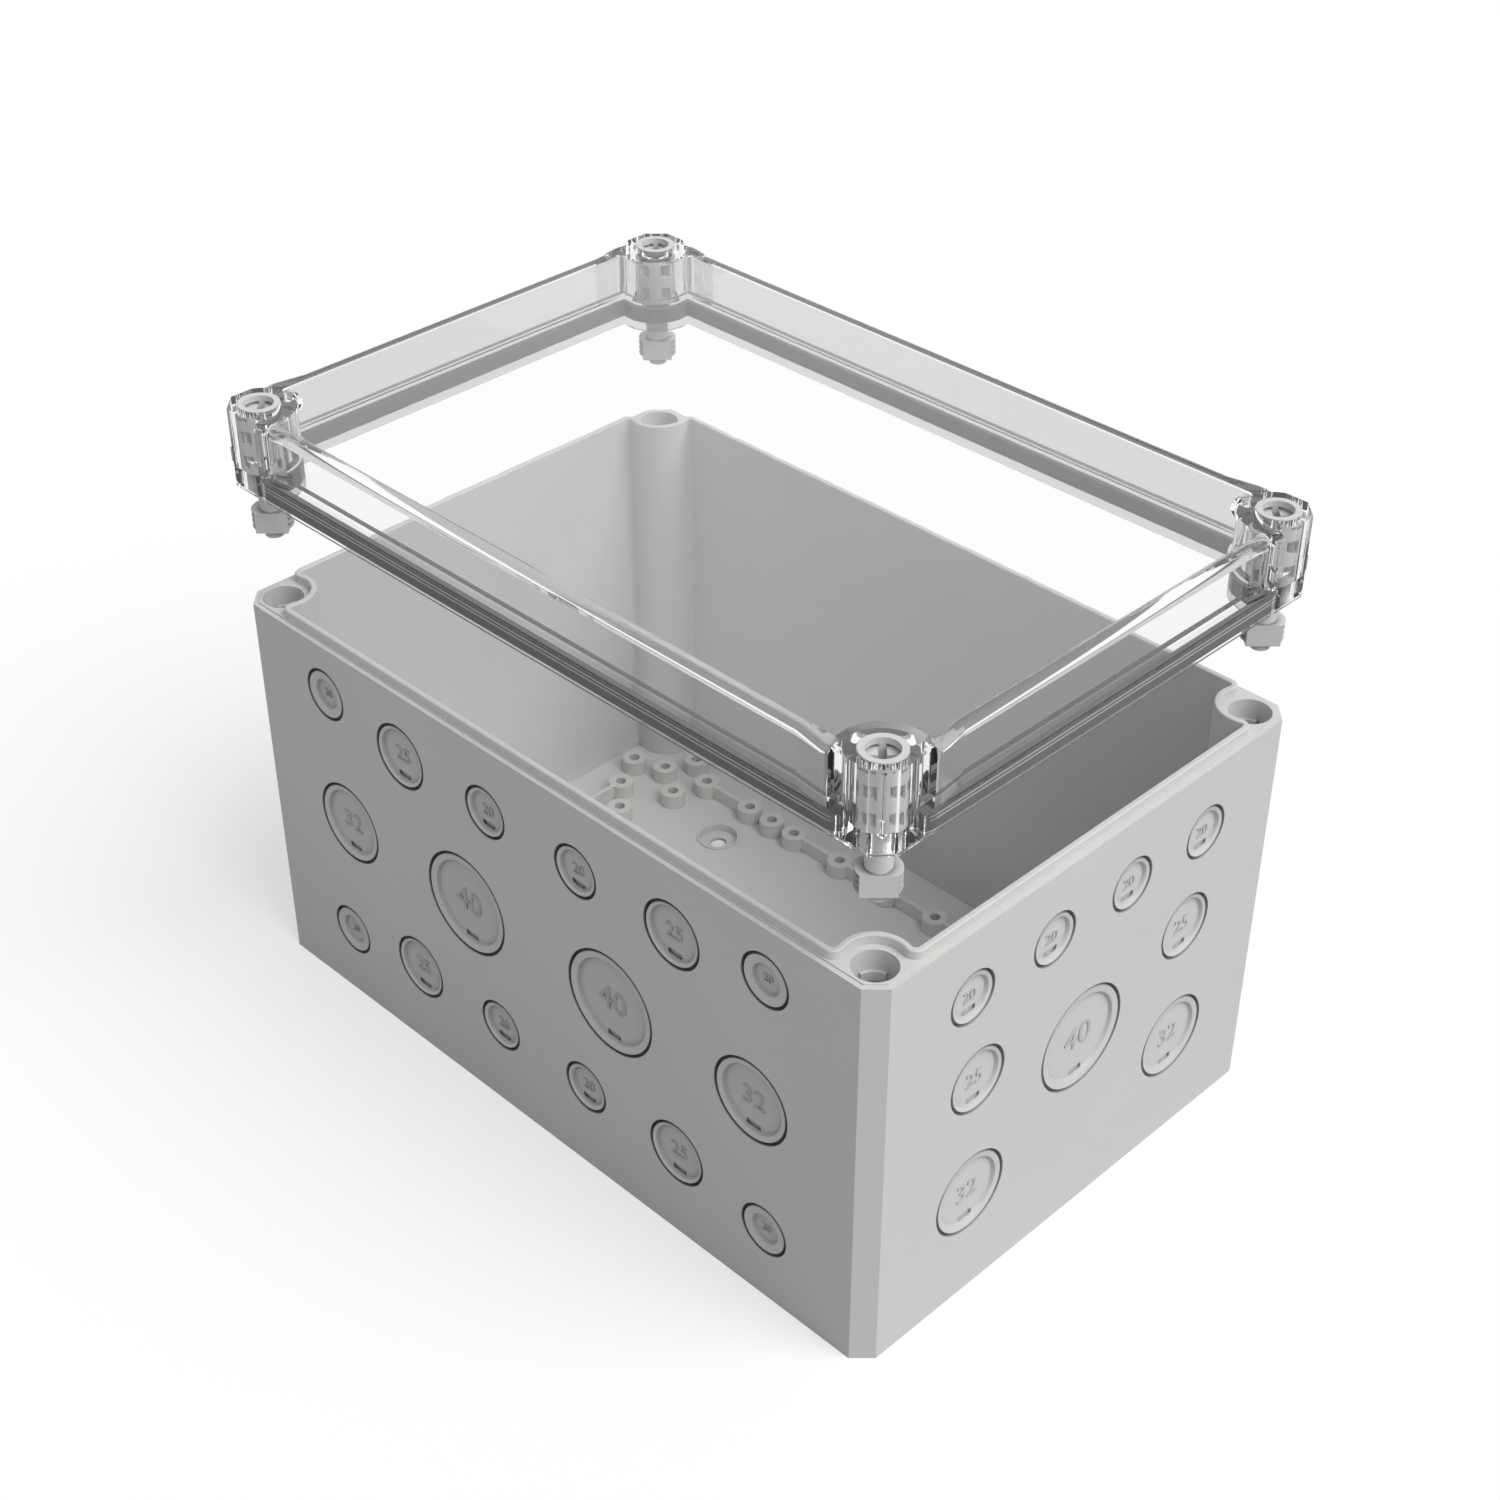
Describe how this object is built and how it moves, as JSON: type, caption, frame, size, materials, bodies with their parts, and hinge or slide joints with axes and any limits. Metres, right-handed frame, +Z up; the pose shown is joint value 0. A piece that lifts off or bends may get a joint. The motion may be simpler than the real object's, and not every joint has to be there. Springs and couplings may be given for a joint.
{
  "type": "polycarbonate enclosure",
  "caption": "Rectangular polycarbonate enclosure with cable knock-outs in its walls, a clear lid with a gasket and quarter-turn lid bolts in its corners, shown with the lid lifted.",
  "frame": {"origin": "middle of the base's underside, on the surface that the box stands on", "axes": "+Z up out of the open base towards the lid, +X along the long walls, front wall towards -Y"},
  "size_m": [0.3, 0.2, 0.2292],
  "materials": {
    "base_plastic": "light grey moulded plastic, fine satin",
    "clear_plastic": "clear, polished",
    "gasket_rubber": "soft, matt",
    "bolt_plastic": "light grey moulded plastic"
  },
  "bodies": {
    "base": {"base": "base_plastic"},
    "lid": {"lid": "clear_plastic", "lid_gasket": "gasket_rubber"},
    "lid_bolt_front_left": {"lid_bolt_front_left": "bolt_plastic"},
    "lid_bolt_front_right": {"lid_bolt_front_right": "bolt_plastic"},
    "lid_bolt_back_left": {"lid_bolt_back_left": "bolt_plastic"},
    "lid_bolt_back_right": {"lid_bolt_back_right": "bolt_plastic"}
  },
  "joints": [
    {"name": "lid_lift", "type": "slide", "parent": "base", "child": "lid", "axis": [0, 0, 1], "range_m": [-0.0469, 0]},
    {"name": "lid_bolt_front_left_turn", "type": "hinge", "parent": "lid", "child": "lid_bolt_front_left", "pos_m": [-0.14, -0.09, 0.2], "axis": [0, 0, 1], "range_deg": [-90, 0]},
    {"name": "lid_bolt_front_right_turn", "type": "hinge", "parent": "lid", "child": "lid_bolt_front_right", "pos_m": [0.14, -0.09, 0.2], "axis": [0, 0, 1], "range_deg": [-90, 0]},
    {"name": "lid_bolt_back_left_turn", "type": "hinge", "parent": "lid", "child": "lid_bolt_back_left", "pos_m": [-0.14, 0.09, 0.2], "axis": [0, 0, 1], "range_deg": [-90, 0]},
    {"name": "lid_bolt_back_right_turn", "type": "hinge", "parent": "lid", "child": "lid_bolt_back_right", "pos_m": [0.14, 0.09, 0.2], "axis": [0, 0, 1], "range_deg": [-90, 0]}
  ]
}
